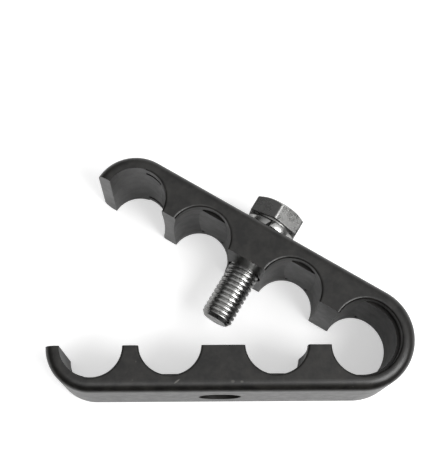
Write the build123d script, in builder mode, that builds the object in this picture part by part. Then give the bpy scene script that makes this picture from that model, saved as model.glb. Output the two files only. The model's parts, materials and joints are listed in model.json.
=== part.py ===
"""Hydraulic tube clamp: one moulded body with a living hinge, a hex bolt and a spring washer.

The clamp holds four hydraulic tubes side by side. Its body is one plastic moulding: a lower and an
upper jaw, joined at the right-hand end by their own end wall, which bends when the clamp opens. The
part is modelled open, as it is moulded, and lies on one of its two flat sides.

Frame, in millimetres: the tubes run along Z, the length of the clamp is along X and its height along
Y. The origin is the middle of the bolt hole's mouth in the lower jaw's mating face, so Z = 0 is the
middle of the body. The upper jaw, the bolt and the washer are drawn closed and then swung open.
"""

import os
from math import pi, radians, tan

from build123d import *

# Body
body_depth = 30.0          # along the tubes
body_height = 26.6         # both jaws closed
edge_radius = 3.4          # rounded long edges of the front and back faces
least_flat = 0.2           # left on the end wall's faces between its round edges
mating_gap = 0.25          # left between the two mating faces when the clamp is closed

# Tube seats
seat_radius = 9.15         # the two inner seats, for 18 mm tube
seat_relief = 0.6          # an inner seat's centre lies this far outside its own jaw
inner_seat_x = 15.5        # either side of the bolt
end_seat_radius = 9.1      # the two end seats, concentric with the ends of the body
left_end_x = -38.4
right_end_x = 40.6

# Inside of a seat, from each face inwards
lip_width = 3.0            # plain lip at the face
rim_round = 0.8            # rounded rim of the lip
slit_width = 1.4           # slit behind the lip, under the outer wall
slit_depth = 0.9           # how far the slit is cut past the lip
slit_reach = 3.9           # half the length of a slit
band_rise = 0.8            # the flat band between the slits stands this far above the lip
belly = 0.7                # hollow of the seat's sides at mid depth
plain_wall_reach = 1.8     # the left end wall is plain from this far left of its seat's middle

# Living hinge
open_angle = 31.0          # the upper jaw swings this far from closed

# Bolt holes
bolt_hole_radius = 5.6
swing_room_mouth = 2.9     # the lower hole is longer to the left, for the swinging bolt
swing_room_foot = 1.5

# Hex bolt M10 x 35, at the short end of its tolerance, and its spring washer
thread_radius = 5.0
bolt_length = 34.5
tip_chamfer = 1.0
head_flats = 16.0
head_height = 6.4
head_turn = 3.0            # the head's front corner, in degrees off the tube direction
head_bevel = 0.4           # the head's top is bevelled from this far inside its flats
washer_face_radius = 7.4
washer_face_height = 0.4
washer_radius = 7.8
washer_thickness = 2.5
washer_clearance = 0.15
washer_split = 1.2
washer_split_slant = 25.0
bolt_slack = 1.1           # the washer stands this far off the jaw while the bolt is slack

# Worked out from the sizes above
half_height = body_height / 2
half_depth = body_depth / 2
lip_z = half_depth - lip_width
band_z = lip_z - slit_width
end_wall = half_height - end_seat_radius
outer_round = min(edge_radius, end_wall - rim_round - least_flat)
neutral_radius = half_height - end_wall / 2
flex_angle = 180 - open_angle
flexed_radius = neutral_radius * pi / radians(flex_angle)
flexed_center_y = flexed_radius - neutral_radius
pivot_x = right_end_x + flexed_center_y / tan(radians(open_angle / 2))
hinge_axis = Axis((pivot_x, 0, 0), (0, 0, 1))
head_seat_y = half_height + bolt_slack + washer_thickness
reach = 3 * half_height    # longer than any cut through a jaw


def seat_cutter(x, radius, relief):
    """The space of one seat at x, as wide as its lips, with its slits and its hollow sides."""
    rim_radius = radius + rim_round
    past = half_depth + 1
    with BuildPart() as cutter:
        # The lips and the hollow sides, turned about the tube's axis
        with BuildSketch(Plane.XZ):
            with BuildLine():
                Polyline((rim_radius, -half_depth), (rim_radius, -past), (0, -past), (0, past),
                         (rim_radius, past), (rim_radius, half_depth))
                RadiusArc((rim_radius, half_depth), (radius, half_depth - rim_round), -rim_round)
                Line((radius, half_depth - rim_round), (radius, lip_z))
                ThreePointArc((radius, lip_z), (radius + belly, 0), (radius, -lip_z))
                Line((radius, -lip_z), (radius, rim_round - half_depth))
                RadiusArc((radius, rim_round - half_depth), (rim_radius, -half_depth), -rim_round)
            make_face()
        revolve(axis=Axis.Z)
        # The flat band stays in the jaw, and each slit goes past the lip
        with Locations((0, band_rise - radius, 0)):
            Box(2 * reach, reach, 2 * band_z, mode=Mode.SUBTRACT,
                align=(Align.CENTER, Align.MAX, Align.CENTER))
        for slit_z in (-lip_z, band_z):
            with BuildSketch(Plane.XY.offset(slit_z)):
                Circle(radius + slit_depth)
                Rectangle(2 * slit_reach, 2 * reach, mode=Mode.INTERSECT)
            extrude(amount=slit_width)
    return Pos(x, relief, 0) * cutter.part


# One of the body's two halves below the mating face, with its long outer edges rounded
with BuildPart() as half_body:
    with BuildSketch():
        with BuildLine():
            Polyline((left_end_x - half_height, 0), (right_end_x, 0), (right_end_x, -half_height),
                     (left_end_x, -half_height))
            RadiusArc((left_end_x, -half_height), (left_end_x - half_height, 0), half_height)
        make_face()
    extrude(amount=half_depth, both=True)
    face_edges = half_body.faces().filter_by(Axis.Z).edges()
    mating_edges = face_edges.group_by(Axis.Y)[-1]
    hinge_end_edges = (face_edges - mating_edges).sort_by(Axis.X)[-2:]
    fillet(face_edges - mating_edges - hinge_end_edges, outer_round)

# The four seats, from the left. The left end wall is plain, so that seat has slits on the right only
full_left_seat = seat_cutter(left_end_x, end_seat_radius, 0)
inner_seats = [seat_cutter(x, seat_radius, seat_relief) for x in (-inner_seat_x, inner_seat_x)]
right_seat = seat_cutter(right_end_x, end_seat_radius, 0)
with BuildPart() as left_seat:
    add(full_left_seat)
    with Locations((left_end_x - plain_wall_reach, 0, 0)):
        Box(reach, reach, 2 * body_depth, align=(Align.MAX, Align.CENTER, Align.CENTER),
            mode=Mode.SUBTRACT)
    with Locations((left_end_x, 0, 0)):
        Cylinder(end_seat_radius, 2 * body_depth)

# The half with its four seats and a round bolt hole
with BuildPart() as half_jaw:
    add(half_body)
    for seat in (left_seat.part, *inner_seats, right_seat):
        add(seat, mode=Mode.SUBTRACT)
    Cylinder(bolt_hole_radius, 2 * reach, rotation=(90, 0, 0), mode=Mode.SUBTRACT)

# Lower jaw: its bolt hole is longer to the left, most at the mouth
with BuildPart() as lower_jaw:
    add(half_jaw)
    for y, room in ((0, swing_room_mouth), (-half_height, swing_room_foot)):
        with BuildSketch(Plane(origin=(-room / 2, y, 0), x_dir=(1, 0, 0), z_dir=(0, 1, 0))):
            SlotOverall(2 * bolt_hole_radius + room, 2 * bolt_hole_radius)
    loft(ruled=True, mode=Mode.SUBTRACT)

# Upper jaw: the mirror image, its mating face cut back a little, swung open
with BuildPart() as upper_jaw_closed:
    add(half_jaw)
    mirror(about=Plane.XZ, mode=Mode.REPLACE)
    with Locations((0, mating_gap, 0)):
        Box(6 * reach, reach, 2 * reach, align=(Align.CENTER, Align.MAX, Align.CENTER),
            mode=Mode.SUBTRACT)
with BuildPart() as upper_jaw:
    add(upper_jaw_closed.part.rotate(hinge_axis, -open_angle))

# Hinge wall: the end wall of the body, bent open about a circle
hinge_center = (right_end_x, flexed_center_y, 0)
lip_r = flexed_radius - end_wall / 2
outer_r = flexed_radius + end_wall / 2
slit_r = lip_r + slit_depth
band_r = lip_r - band_rise
with BuildPart() as hinge_wall:
    with BuildSketch(Plane(origin=hinge_center, x_dir=(0, -1, 0), z_dir=(-1, 0, 0))):
        with BuildLine():
            Polyline((outer_r - outer_round, -half_depth), (lip_r + rim_round, -half_depth))
            RadiusArc((lip_r + rim_round, -half_depth), (lip_r, rim_round - half_depth), rim_round)
            Polyline((lip_r, rim_round - half_depth), (lip_r, -lip_z), (slit_r, -lip_z),
                     (slit_r, -band_z), (band_r, -band_z), (band_r, 0))
            RadiusArc((outer_r, outer_round - half_depth), (outer_r - outer_round, -half_depth),
                      outer_round)
            Line((outer_r, outer_round - half_depth), (outer_r, 0))
            Line((outer_r, 0), (band_r, 0))
        make_face()
        mirror(about=Plane.XZ)
    revolve(axis=Axis(hinge_center, (0, 0, 1)), revolution_arc=flex_angle)

# Hex bolt, drawn closed and swung open with the upper jaw
hexagon_y = head_seat_y + washer_face_height
head_top_y = head_seat_y + head_height
bevel_radius = head_flats / 2 - head_bevel
bevel_drop = head_flats * tan(radians(30))
with BuildPart() as bolt_closed:
    with BuildSketch(Plane(origin=(0, hexagon_y, 0), x_dir=(1, 0, 0), z_dir=(0, 1, 0))):
        RegularPolygon(head_flats / 2, 6, major_radius=False, rotation=30 + head_turn)
    extrude(amount=head_height - washer_face_height)
    with BuildSketch():
        Polygon((0, head_seat_y), (bevel_radius + head_flats, head_seat_y),
                (bevel_radius + head_flats, head_top_y - bevel_drop), (bevel_radius, head_top_y),
                (0, head_top_y), align=None)
    revolve(axis=Axis.Y, mode=Mode.INTERSECT)
    with BuildSketch():
        tip_y = head_seat_y - bolt_length
        Polygon((0, hexagon_y), (washer_face_radius, hexagon_y),
                (washer_face_radius, head_seat_y), (thread_radius, head_seat_y),
                (thread_radius, tip_y + tip_chamfer), (thread_radius - tip_chamfer, tip_y),
                (0, tip_y), align=None)
    revolve(axis=Axis.Y)
with BuildPart() as hex_bolt:
    add(bolt_closed.part.rotate(hinge_axis, -open_angle))

# Spring washer: a split ring under the bolt's head
with BuildPart() as washer_closed:
    with Locations((0, head_seat_y - washer_thickness / 2, 0)):
        Cylinder(washer_radius, washer_thickness, rotation=(90, 0, 0))
        Cylinder(thread_radius + washer_clearance, washer_thickness, rotation=(90, 0, 0),
                 mode=Mode.SUBTRACT)
    with Locations((0, head_seat_y - washer_thickness / 2, 0)):
        Box(washer_split, 3 * washer_thickness, washer_radius + 1,
            rotation=(0, 0, washer_split_slant), align=(Align.CENTER, Align.CENTER, Align.MIN),
            mode=Mode.SUBTRACT)
with BuildPart() as spring_washer:
    add(washer_closed.part.rotate(hinge_axis, -open_angle))

os.makedirs("parts", exist_ok=True)
lower_jaw.part.label = "lower_jaw"
upper_jaw.part.label = "upper_jaw"
hinge_wall.part.label = "hinge_wall"
hex_bolt.part.label = "hex_bolt"
spring_washer.part.label = "spring_washer"
export_step(lower_jaw.part, "parts/lower_jaw.step")
export_step(upper_jaw.part, "parts/upper_jaw.step")
export_step(hinge_wall.part, "parts/hinge_wall.step")
export_step(hex_bolt.part, "parts/hex_bolt.step")
export_step(spring_washer.part, "parts/spring_washer.step")
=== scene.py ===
# %% [markdown]
# # A hydraulic tube clamp, lying open
#
# The clamp is one moulding of black plastic with a hex bolt through its middle. The two jaws are the
# solids of the CAD model, shown as they are with a better finish. What Blender adds is what a solid
# can't show: a hinge wall bent round its arc, a real screw thread, a split spring washer and the
# finishes.

import json
from math import cos, pi, radians, sin, tan

import bmesh
import bpy
import numpy as np
from mathutils import Matrix, Vector


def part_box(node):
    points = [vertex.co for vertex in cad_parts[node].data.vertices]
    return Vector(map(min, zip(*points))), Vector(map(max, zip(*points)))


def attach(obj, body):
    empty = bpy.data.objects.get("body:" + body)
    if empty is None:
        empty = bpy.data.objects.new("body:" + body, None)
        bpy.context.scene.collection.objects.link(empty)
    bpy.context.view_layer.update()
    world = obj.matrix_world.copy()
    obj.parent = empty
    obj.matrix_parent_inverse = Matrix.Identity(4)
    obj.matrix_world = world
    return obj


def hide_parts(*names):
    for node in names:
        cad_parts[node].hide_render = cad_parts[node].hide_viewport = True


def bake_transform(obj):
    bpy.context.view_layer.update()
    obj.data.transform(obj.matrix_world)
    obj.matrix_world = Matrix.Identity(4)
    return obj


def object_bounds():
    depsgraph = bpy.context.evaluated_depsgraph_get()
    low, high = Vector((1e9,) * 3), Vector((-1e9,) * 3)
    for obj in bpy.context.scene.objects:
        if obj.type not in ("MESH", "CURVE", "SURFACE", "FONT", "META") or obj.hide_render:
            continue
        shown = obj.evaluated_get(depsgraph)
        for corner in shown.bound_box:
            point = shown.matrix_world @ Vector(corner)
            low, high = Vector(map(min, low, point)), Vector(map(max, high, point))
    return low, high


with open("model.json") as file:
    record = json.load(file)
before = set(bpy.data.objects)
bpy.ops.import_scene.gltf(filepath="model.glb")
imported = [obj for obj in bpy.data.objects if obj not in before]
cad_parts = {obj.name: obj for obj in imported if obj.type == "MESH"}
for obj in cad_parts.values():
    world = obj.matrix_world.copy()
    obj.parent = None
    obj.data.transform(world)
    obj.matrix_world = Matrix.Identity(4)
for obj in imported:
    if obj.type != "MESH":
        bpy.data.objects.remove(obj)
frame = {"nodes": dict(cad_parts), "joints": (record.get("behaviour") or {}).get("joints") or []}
cad_low, cad_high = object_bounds()
MM = 0.001
half_depth = -cad_low.z
print("CAD box in mm:", [round(v / MM, 1) for v in cad_high - cad_low])

# %% [markdown]
# ## The joints give the places
#
# The upper jaw swings open about the hinge, and the bolt stands in the upper jaw. The opening angle
# and the bolt's axis are read from the joints of the frame, so the added pieces sit exactly where the
# CAD pieces do.

# %% Opening angle and bolt axis
joints = {joint["name"]: joint for joint in frame["joints"]}
open_angle = radians(joints["jaw_hinge"]["range_deg"][1])
bolt_point = np.array(joints["bolt_spin"]["pos_m"])
bolt_up = np.array(joints["bolt_spin"]["axis"])
tube_way = np.array([0.0, 0.0, 1.0])
bolt_side = np.cross(bolt_up, tube_way)
print("open by", round(joints["jaw_hinge"]["range_deg"][1], 1), "degrees")


# %% [markdown]
# ## Meshes from worked-out surfaces
#
# A piece is a grid of points: rows along one way, columns along the other. Joining each point to its
# neighbours gives the faces. Every surface here closes on itself, so the last column joins the first.

# %% A grid of points becomes a mesh
def grid_faces(rows, columns):
    """Quads between neighbouring points: point (i, j) has the number i * columns + j."""
    i, j = np.meshgrid(np.arange(rows - 1), np.arange(columns), indexing="ij")
    this_row, next_row = i * columns, (i + 1) * columns
    next_j = (j + 1) % columns
    corners = [this_row + j, this_row + next_j, next_row + next_j, next_row + j]
    return np.stack(corners, axis=-1).reshape(-1, 4)


def make_piece(name, points, faces, material, smooth_angle=35):
    """An object at the origin with its place in its mesh. Edges sharper than the angle stay crisp."""
    mesh = bpy.data.meshes.new(name)
    mesh.from_pydata(points.reshape(-1, 3).tolist(), [], faces)
    mesh.materials.append(material)
    mesh.update()
    piece = bpy.data.objects.new(name, mesh)
    bpy.context.collection.objects.link(piece)
    mesh.shade_smooth()
    mesh.set_sharp_from_angle(angle=radians(smooth_angle))
    print(name, "has", len(mesh.vertices), "points and", len(mesh.polygons), "faces")
    return piece


# %% [markdown]
# ## Finishes
#
# The same grain and the same scuffs serve more than one material, so each is a node group with named
# inputs. The shader itself stays in the material.

# %% Helpers for node trees
def new_group(name, inputs, outputs):
    """A shader node group with float inputs {name: default} and outputs {name: socket type}."""
    group = bpy.data.node_groups.new(name, "ShaderNodeTree")
    group.interface.new_socket("Vector", in_out="INPUT", socket_type="NodeSocketVector")
    for label, default in inputs.items():
        socket = group.interface.new_socket(label, in_out="INPUT", socket_type="NodeSocketFloat")
        socket.default_value = default
    for label, kind in outputs.items():
        group.interface.new_socket(label, in_out="OUTPUT", socket_type=kind)
    return group, group.nodes.new("NodeGroupInput"), group.nodes.new("NodeGroupOutput")


def link(tree, source, target):
    """Joins two sockets."""
    tree.links.new(source, target)


def feed(tree, value, target):
    """Gives a socket its value, which is another socket or a plain value."""
    if isinstance(value, bpy.types.NodeSocket):
        link(tree, value, target)
    else:
        target.default_value = value


def noise(tree, vector, scale, detail, roughness=0.5):
    """Noise of a given scale, in cells per metre."""
    texture = tree.nodes.new("ShaderNodeTexNoise")
    feed(tree, scale, texture.inputs["Scale"])
    texture.inputs["Detail"].default_value = detail
    texture.inputs["Roughness"].default_value = roughness
    link(tree, vector, texture.inputs["Vector"])
    return texture.outputs["Fac"]


def remap(tree, value, from_low, from_high, to_low=0.0, to_high=1.0):
    """Carries the range from_low..from_high of a value over to to_low..to_high, and clamps it."""
    node = tree.nodes.new("ShaderNodeMapRange")
    node.inputs["From Min"].default_value = from_low
    node.inputs["From Max"].default_value = from_high
    node.inputs["To Min"].default_value = to_low
    node.inputs["To Max"].default_value = to_high
    link(tree, value, node.inputs["Value"])
    return node.outputs["Result"]


def combine(tree, operation, a, b):
    """A maths node. a and b are sockets or plain numbers."""
    node = tree.nodes.new("ShaderNodeMath")
    node.operation = operation
    for socket, value in zip(node.inputs, (a, b)):
        feed(tree, value, socket)
    return node.outputs["Value"]


def mix_colours(tree, factor, low, high):
    """From the colour low to the colour high by factor. Each is a plain colour or a socket."""
    node = tree.nodes.new("ShaderNodeMix")
    node.data_type = "RGBA"
    link(tree, factor, node.inputs["Factor"])
    for socket, value in ((node.inputs["A"], low), (node.inputs["B"], high)):
        feed(tree, (*value, 1.0) if isinstance(value, tuple) else value, socket)
    return node.outputs["Result"]


def add_bump(tree, shader, height, strength, distance):
    """Tilts the shader's normal by a height over the surface."""
    bump = tree.nodes.new("ShaderNodeBump")
    bump.inputs["Strength"].default_value = strength
    bump.inputs["Distance"].default_value = distance
    link(tree, height, bump.inputs["Height"])
    link(tree, bump.outputs["Normal"], shader.inputs["Normal"])


# %% [markdown]
# Moulded plastic copies the skin of its steel mould: a fine grain with a slow waviness under it. Where
# tubes and hands have rubbed it, it is a little smoother and greyer.

# %% Grain of a mould, and the rub marks on it
def mould_grain():
    """Height: fine noise on slow waves that are twice as high."""
    group, start, end = new_group("mould grain", {"Grain scale": 2600, "Wave scale": 90},
                                  {"Height": "NodeSocketFloat"})
    place = start.outputs["Vector"]
    fine = noise(group, place, start.outputs["Grain scale"], detail=4)
    slow = noise(group, place, start.outputs["Wave scale"], detail=2)
    height = combine(group, "ADD", fine, combine(group, "MULTIPLY", slow, 2.0))
    link(group, height, end.inputs["Height"])
    return group


def rub_marks():
    """Mask: patches of rubbed skin. Specks: the middles of a few scattered cells."""
    group, start, end = new_group("rub marks", {"Patch scale": 300, "Speck scale": 420},
                                  {"Mask": "NodeSocketFloat", "Specks": "NodeSocketFloat"})
    place = start.outputs["Vector"]
    patch = noise(group, place, start.outputs["Patch scale"], detail=5, roughness=0.62)
    link(group, remap(group, patch, 0.38, 0.66), end.inputs["Mask"])
    cells = group.nodes.new("ShaderNodeTexVoronoi")
    link(group, place, cells.inputs["Vector"])
    link(group, start.outputs["Speck scale"], cells.inputs["Scale"])
    near = remap(group, cells.outputs["Distance"], 0.0, 0.13, 1.0, 0.0)
    rare = remap(group, noise(group, place, 700, detail=1), 0.62, 0.66)
    link(group, combine(group, "MULTIPLY", near, rare), end.inputs["Specks"])
    return group


grain_group = mould_grain()
rub_group = rub_marks()
print("node groups:", [group.name for group in (grain_group, rub_group)])


# %% A material, a group in it, and one small mark
def new_material(name):
    """An empty material: its tree, its Principled shader and its Object coordinates."""
    material = bpy.data.materials.new(name)
    material.use_nodes = True
    tree = material.node_tree
    shader = tree.nodes["Principled BSDF"]
    place = tree.nodes.new("ShaderNodeTexCoord").outputs["Object"]
    return material, tree, shader, place


def use_group(tree, group, place, **values):
    """Places a group in a material, with its own values."""
    node = tree.nodes.new("ShaderNodeGroup")
    node.node_tree = group
    link(tree, place, node.inputs["Vector"])
    for label, value in values.items():
        node.inputs[label.replace("_", " ")].default_value = value
    return node


def nick(tree, place, middle, reach, turn=0.0):
    """Mask of one small mark on the upper face: an ellipse in X and Y, in mm, turned by an angle in
    degrees."""
    mapping = tree.nodes.new("ShaderNodeMapping")
    mapping.vector_type = "TEXTURE"
    mapping.inputs["Location"].default_value = (middle[0] * MM, middle[1] * MM, half_depth)
    mapping.inputs["Rotation"].default_value = (0, 0, radians(turn))
    mapping.inputs["Scale"].default_value = (reach[0] * MM, reach[1] * MM, 3 * MM)
    link(tree, place, mapping.inputs["Vector"])
    length = tree.nodes.new("ShaderNodeVectorMath")
    length.operation = "LENGTH"
    link(tree, mapping.outputs["Vector"], length.inputs[0])
    return remap(tree, length.outputs["Value"], 0.5, 1.0, 1.0, 0.0)


# %% Black moulded plastic
def black_plastic():
    """Semi-matt black polypropylene, a little warm, mottled by rubbing. The lower jaw has a short
    scratch and two small nicks along its front edge."""
    black, rubbed, dust, bared = ((0.0042, 0.0039, 0.0035), (0.0185, 0.0174, 0.0157),
                                  (0.06, 0.058, 0.052), (0.10, 0.096, 0.088))
    smooth, dull = 0.30, 0.36
    material, tree, shader, place = new_material("black moulded plastic")
    rub = use_group(tree, rub_group, place)
    colour = mix_colours(tree, rub.outputs["Mask"], black, rubbed)
    colour = mix_colours(tree, rub.outputs["Specks"], colour, dust)
    nicks = combine(tree, "MAXIMUM", nick(tree, place, (2.6, -10.6), (0.7, 0.5)),
                    nick(tree, place, (5.2, -10.7), (0.6, 0.4)))
    scratch = nick(tree, place, (-13.4, -10.5), (1.2, 0.3), turn=36)
    marks = combine(tree, "MAXIMUM", combine(tree, "MULTIPLY", nicks, 0.5), scratch)
    link(tree, mix_colours(tree, marks, colour, bared), shader.inputs["Base Color"])
    link(tree, remap(tree, rub.outputs["Mask"], 0, 1, dull, smooth), shader.inputs["Roughness"])
    grain = use_group(tree, grain_group, place)
    add_bump(tree, shader, grain.outputs["Height"], strength=0.28, distance=0.06 * MM)
    shader.inputs["IOR"].default_value = 1.5
    return material


plastic = black_plastic()
print("finish:", plastic.name, "with", len(plastic.node_tree.nodes), "nodes")


# %% [markdown]
# Zinc plating is a thin bright metal skin. Handling dulls it in patches, so its grey and its gloss
# change together, and a faint waviness breaks up what it reflects.

# %% Bright zinc plating
def zinc_plating():
    """Steel with bright zinc, darker and duller where it has been handled."""
    bright, dulled = (0.48, 0.48, 0.47), (0.30, 0.30, 0.295)
    smooth, dull = 0.22, 0.36
    material, tree, shader, place = new_material("bright zinc plating")
    rub = use_group(tree, rub_group, place, Patch_scale=320)
    colour = mix_colours(tree, rub.outputs["Mask"], bright, dulled)
    link(tree, colour, shader.inputs["Base Color"])
    link(tree, remap(tree, rub.outputs["Mask"], 0, 1, smooth, dull), shader.inputs["Roughness"])
    shader.inputs["Metallic"].default_value = 1.0
    grain = use_group(tree, grain_group, place, Grain_scale=3800, Wave_scale=240)
    add_bump(tree, shader, grain.outputs["Height"], strength=0.2, distance=0.04 * MM)
    return material


zinc = zinc_plating()
print("finish:", zinc.name, "with", len(zinc.node_tree.nodes), "nodes")

# %% [markdown]
# ## The jaws
#
# Their solids have the true form, so they stay and only get the finish.

# %% Finish of the two jaws
for node_name in ("lower_jaw", "upper_jaw"):
    node = frame["nodes"][node_name]
    for slot in node.material_slots:
        slot.material = plastic
    print(node_name, "has", len(node.data.polygons), "faces and the finish", plastic.name)

# %% [markdown]
# ## The living hinge
#
# The end wall joins both jaws and bends when the clamp closes. It is a section carried round an arc,
# so a function of two parameters gives it: the way round the section and the way round the bend.

# %% Section of the hinge wall
wall_low, wall_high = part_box("hinge_wall")
outer_radius = wall_high.x - wall_low.x
center_x, center_y = wall_low.x, wall_low.y + outer_radius
wall_thickness = 4.2 * MM
lip_radius = outer_radius - wall_thickness
bend_angle = pi - open_angle
print("the wall bends at", round(outer_radius / MM, 2), "mm outside and",
      round(lip_radius / MM, 2), "mm inside")


def corner(radius, depth, size, first, last, steps):
    """Points of a round corner about (radius, depth), from one angle to another, in degrees."""
    angles = np.radians(np.linspace(first, last, steps))
    return np.stack([radius + size * np.cos(angles), depth + size * np.sin(angles)], axis=1)


def wall_section():
    """(radius, depth) points once round the wall's section: a plain outside with round edges, and an
    inside with a lip at each face, a slit behind each lip and a raised band between them."""
    edge, rim = 3.2 * MM, 0.8 * MM
    lip, slit = 12.0 * MM, 10.6 * MM
    slit_radius, band_radius = lip_radius + 0.9 * MM, lip_radius - 0.8 * MM
    front = np.concatenate([
        corner(outer_radius - edge, half_depth - edge, edge, 0, 90, 12),
        corner(lip_radius + rim, half_depth - rim, rim, 90, 180, 6),
        np.array([(lip_radius, lip), (slit_radius, lip), (slit_radius, slit), (band_radius, slit)]),
    ])
    back = front[::-1] * (1, -1)
    return np.concatenate([front, back])


# %% The wall, bent round its arc
def closed_strip_faces(rows, columns):
    """Faces of a section carried along a path: quads round it, and one face over each end."""
    total = rows * columns
    ends = [list(range(columns)), list(range(total - 1, total - 1 - columns, -1))]
    return grid_faces(rows, columns).tolist() + ends


def hinge_wall():
    """Point (s, a) = section point s turned by a from straight down, about the bend's middle."""
    steps_round = 73
    section = wall_section()
    turns = np.linspace(0, bend_angle, steps_round)[:, None]
    radius, depth = section[:, 0][None], section[:, 1][None]
    x = center_x + radius * np.sin(turns)
    y = center_y - radius * np.cos(turns)
    points = np.stack([x, y, depth + 0 * turns], axis=-1)
    return points, closed_strip_faces(steps_round, len(section))


points, faces = hinge_wall()
wall = make_piece("hinge_wall_skin", points, faces, plastic)
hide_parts("hinge_wall")
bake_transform(wall)

# %% [markdown]
# ## The bolt
#
# An M10 bolt has a screw thread of 1.5 mm pitch and a hex head. Drawn round the bolt's own axis, each
# is a radius that depends on the angle and on the height.

# %% From the bolt's own axis to the frame
def along_bolt(radius, angle, height):
    """Points at a radius, an angle from the tube direction and a height on the bolt's axis, in mm.
    Height 0 is the plane of the closed clamp's mating faces."""
    side = (radius * np.sin(angle))[..., None] * bolt_side
    out = (radius * np.cos(angle))[..., None] * tube_way
    return bolt_point + MM * (side + out + height[..., None] * bolt_up)


thread_radius = 5.0
pitch = 1.5
head_bottom = 16.9
bolt_length = 34.5
bolt_tip = head_bottom - bolt_length
head_top = head_bottom + 6.4
flat_distance = 8.0
print("the bolt reaches from", round(bolt_tip, 1), "to", round(head_top, 1), "mm")


# %% The threaded shank
def threaded_shank():
    """Radius = crest radius less a flat-bottomed V that climbs by one pitch per turn, with a cone at
    the tip and a plain neck under the head."""
    rows, columns = 400, 96
    crest_radius, thread_depth = thread_radius - 0.03, 0.62
    crest_share, flank_share = 0.4, 0.55
    neck_radius, neck_length, neck_run = thread_radius - 0.45, 2.2, 0.6
    tip_radius = thread_radius - 1.15
    height = np.linspace(bolt_tip, head_bottom + 0.2, rows)[:, None] + np.zeros((1, columns))
    angle = np.linspace(0, 2 * pi, columns, endpoint=False)[None] + 0 * height
    phase = (height / pitch - angle / (2 * pi)) % 1.0
    groove = np.clip((1 - 2 * np.abs(phase - 0.5) - crest_share) / flank_share, 0, 1)
    neck = np.clip((height - (head_bottom - neck_length)) / neck_run, 0, 1)
    radius = (crest_radius - thread_depth * groove) * (1 - neck) + neck_radius * neck
    radius = np.minimum(radius, tip_radius + (height - bolt_tip))
    shank = along_bolt(radius, angle, height)
    middles = along_bolt(np.zeros(2), np.zeros(2), height[[0, -1], 0])
    points = np.concatenate([shank.reshape(-1, 3), middles])
    ring = np.arange(columns)
    fans = []
    for middle, first in ((rows * columns, 0), (rows * columns + 1, (rows - 1) * columns)):
        fan = np.stack([np.full(columns, middle), first + np.roll(ring, -1), first + ring], axis=1)
        fans += fan.tolist()
    return points, grid_faces(rows, columns).tolist() + fans


# %% The hex head
def hex_head():
    """Radius = the flats' distance over a smooth maximum of the cosines towards the six flats, which
    rounds the corners. The top is cut by a 30 degree cone, and a washer face is under the head."""
    turn, crispness, washer_face = 33, 90, 7.4
    angle = np.linspace(0, 2 * pi, 240, endpoint=False)
    flats = np.radians(turn + 60 * np.arange(6))
    toward = np.clip(np.cos(angle[:, None] - flats[None]), 0, 1) ** crispness
    hexagon = flat_distance / toward.sum(axis=1) ** (1 / crispness)
    bevel = flat_distance - 0.4
    crown = head_top - np.maximum(hexagon - bevel, 0) * tan(radians(30))
    rows = [
        (0, head_bottom),
        (washer_face - 0.2, head_bottom),
        (washer_face, head_bottom + 0.15),
        (washer_face, head_bottom + 0.4),
        (hexagon - 0.25, head_bottom + 0.4),
        (hexagon, head_bottom + 0.65),
        (hexagon, crown - 0.15),
        (hexagon - 0.12, crown),
        (bevel, head_top - 0.06),
        (bevel - 0.3, head_top),
        (0.6 * bevel, head_top),
        (0, head_top),
    ]
    radius = np.stack([row[0] + 0 * angle for row in rows])
    height = np.stack([row[1] + 0 * angle for row in rows])
    points = along_bolt(radius, angle[None] + 0 * radius, height)
    return points, grid_faces(len(rows), len(angle))


# %% Join shank and head
shank_points, shank_faces = threaded_shank()
head_points, head_faces = hex_head()
bolt_points = np.concatenate([shank_points, head_points.reshape(-1, 3)])
bolt_faces = shank_faces + (head_faces + len(shank_points)).tolist()
bolt = make_piece("threaded_hex_bolt", bolt_points, bolt_faces, zinc, smooth_angle=28)
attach(bolt, "bolt")
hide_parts("hex_bolt")

# %% [markdown]
# ## The spring washer
#
# A spring washer is one turn of square wire, cut on a slant, whose two ends stand a little apart.

# %% One slanted turn of square wire
def spring_washer():
    """A square section with round corners, carried round a circle with a slight climb. Each end is
    sheared, so that the cut is slanted."""
    inner, outer, height, round_off = 5.15, 7.8, 2.15, 0.25
    cut_width, cut_slant, cut_radius = 1.2, radians(25), 6.5
    climb, middle_level, steps_round = 0.3, head_bottom - 1.25, 121
    left, right = inner + round_off, outer - round_off
    top = height / 2 - round_off
    section = np.concatenate([
        corner(right, top, round_off, 0, 90, 5),
        corner(left, top, round_off, 90, 180, 5),
        corner(left, -top, round_off, 180, 270, 5),
        corner(right, -top, round_off, 270, 360, 5),
    ])
    share = np.linspace(0, 1, steps_round)[:, None]
    gap = cut_width / cut_radius
    slant = section[:, 1][None] * tan(cut_slant) / cut_radius
    angle = gap / 2 + slant + share * (2 * pi - gap)
    level = middle_level + section[:, 1][None] + climb * (0.5 - share)
    radius = section[:, 0][None] + 0 * share
    return along_bolt(radius, angle, level), closed_strip_faces(steps_round, len(section))


points, faces = spring_washer()
washer = make_piece("split_washer", points, faces, zinc)
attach(washer, "washer")
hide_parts("spring_washer")

# %% Close the poles, and point all faces outwards
for piece in (wall, bolt, washer):
    shell = bmesh.new()
    shell.from_mesh(piece.data)
    bmesh.ops.remove_doubles(shell, verts=shell.verts, dist=0.001 * MM)
    bmesh.ops.recalc_face_normals(shell, faces=shell.faces)
    open_edges = sum(not edge.is_manifold for edge in shell.edges)
    print(piece.name, "has", open_edges, "open edges and a volume of",
          round(shell.calc_volume() / MM ** 3), "mm3")
    shell.to_mesh(piece.data)
    shell.free()

# %% [markdown]
# ## Floor, light and camera
#
# The clamp lies on a white table and is looked at from above, from the side of the lower jaw.

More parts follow.
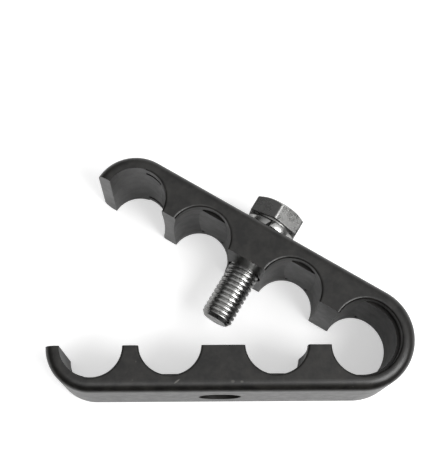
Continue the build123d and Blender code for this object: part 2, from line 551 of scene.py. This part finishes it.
# %% White table
def table_material():
    """A white table. The camera sees it as plain white. Reflections see mostly how it is lit, so it
    is darker in the clamp's own corners."""
    glow_for_camera, glow_for_gloss = 0.45, 0.05
    material, tree, shader, place = new_material("white table")
    shader.inputs["Base Color"].default_value = (0.86, 0.86, 0.86, 1)
    shader.inputs["Roughness"].default_value = 0.9
    shader.inputs["Emission Color"].default_value = (1, 1, 1, 1)
    path = tree.nodes.new("ShaderNodeLightPath")
    seen = combine(tree, "MULTIPLY", path.outputs["Is Camera Ray"], glow_for_camera)
    mirrored = combine(tree, "MULTIPLY", path.outputs["Is Glossy Ray"], glow_for_gloss)
    link(tree, combine(tree, "ADD", seen, mirrored), shader.inputs["Emission Strength"])
    return material


left, right, near, far = -0.4, 0.4, -0.055, 0.4
corners = np.array([(left, near), (right, near), (right, far), (left, far)])
points = np.column_stack([corners, np.full(4, cad_low.z)])
table = make_piece("white_table", points, [(0, 1, 2, 3)], table_material())


# %% A bright ceiling over a dim room, which the camera sees as white
def room_light():
    """World strength = from dim at eye level to bright overhead, with a pale wall behind on the right,
    and 1 for the camera."""
    world = bpy.data.worlds.new("room")
    world.use_nodes = True
    room = world.node_tree
    way = room.nodes.new("ShaderNodeTexCoord").outputs["Generated"]
    split = room.nodes.new("ShaderNodeSeparateXYZ")
    link(room, way, split.inputs["Vector"])
    ceiling = remap(room, split.outputs["Z"], 0.42, 0.95, 0.03, 0.78)
    ceiling.node.interpolation_type = "SMOOTHSTEP"
    toward = room.nodes.new("ShaderNodeVectorMath")
    toward.operation = "DOT_PRODUCT"
    toward.inputs[1].default_value = (0.5, 0.86, 0)
    link(room, way, toward.inputs[0])
    wall_glow = remap(room, toward.outputs["Value"], 0.35, 0.9, 0.0, 0.5)
    path = room.nodes.new("ShaderNodeLightPath")
    strength = combine(room, "MAXIMUM", combine(room, "ADD", ceiling, wall_glow),
                       path.outputs["Is Camera Ray"])
    link(room, strength, room.nodes["Background"].inputs["Strength"])
    room.nodes["Background"].inputs["Color"].default_value = (1, 1, 1, 1)
    return world


scene = bpy.context.scene
scene.view_settings.view_transform = "Standard"
scene.world = room_light()
print("world:", scene.world.name)


# %% Lamps
def area_lamp(name, place, target, size, watts):
    """A square soft lamp at place that faces target."""
    lamp = bpy.data.lights.new(name, "AREA")
    lamp.size = size
    lamp.energy = watts
    holder = bpy.data.objects.new(name, lamp)
    bpy.context.collection.objects.link(holder)
    holder.location = place
    holder.rotation_euler = (Vector(target) - Vector(place)).to_track_quat("-Z", "Y").to_euler()
    print(name, "gives", watts, "W")


clamp_middle = (0, 0.02, 0)
area_lamp("front softbox", (-0.17, -0.42, 0.65), clamp_middle, size=0.42, watts=0.8)
area_lamp("side softbox", (0.43, -0.26, 0.6), clamp_middle, size=0.45, watts=5.0)

# %% Camera
yaw, pitch_up, roll = radians(0.825), radians(14.294), radians(-0.448)
ahead = Vector((sin(yaw) * cos(pitch_up), sin(pitch_up), -cos(yaw) * cos(pitch_up)))
right = ahead.cross(Vector((0, 1, 0))).normalized()
up = right.cross(ahead)
turned_right = cos(roll) * right + sin(roll) * up
turned_up = cos(roll) * up - sin(roll) * right
lens = bpy.data.cameras.new("camera")
lens.lens = 80.18
lens.sensor_width = 36
lens.shift_x = 0.0402
lens.shift_y = 0.0875
lens.clip_start = 0.01
camera = bpy.data.objects.new("camera", lens)
bpy.context.collection.objects.link(camera)
axes = Matrix((turned_right, turned_up, -ahead)).transposed().to_4x4()
camera.matrix_world = Matrix.Translation((-0.00913, -0.04894, 0.30109)) @ axes
scene.camera = camera
print("camera with a", round(lens.lens, 1), "mm lens")
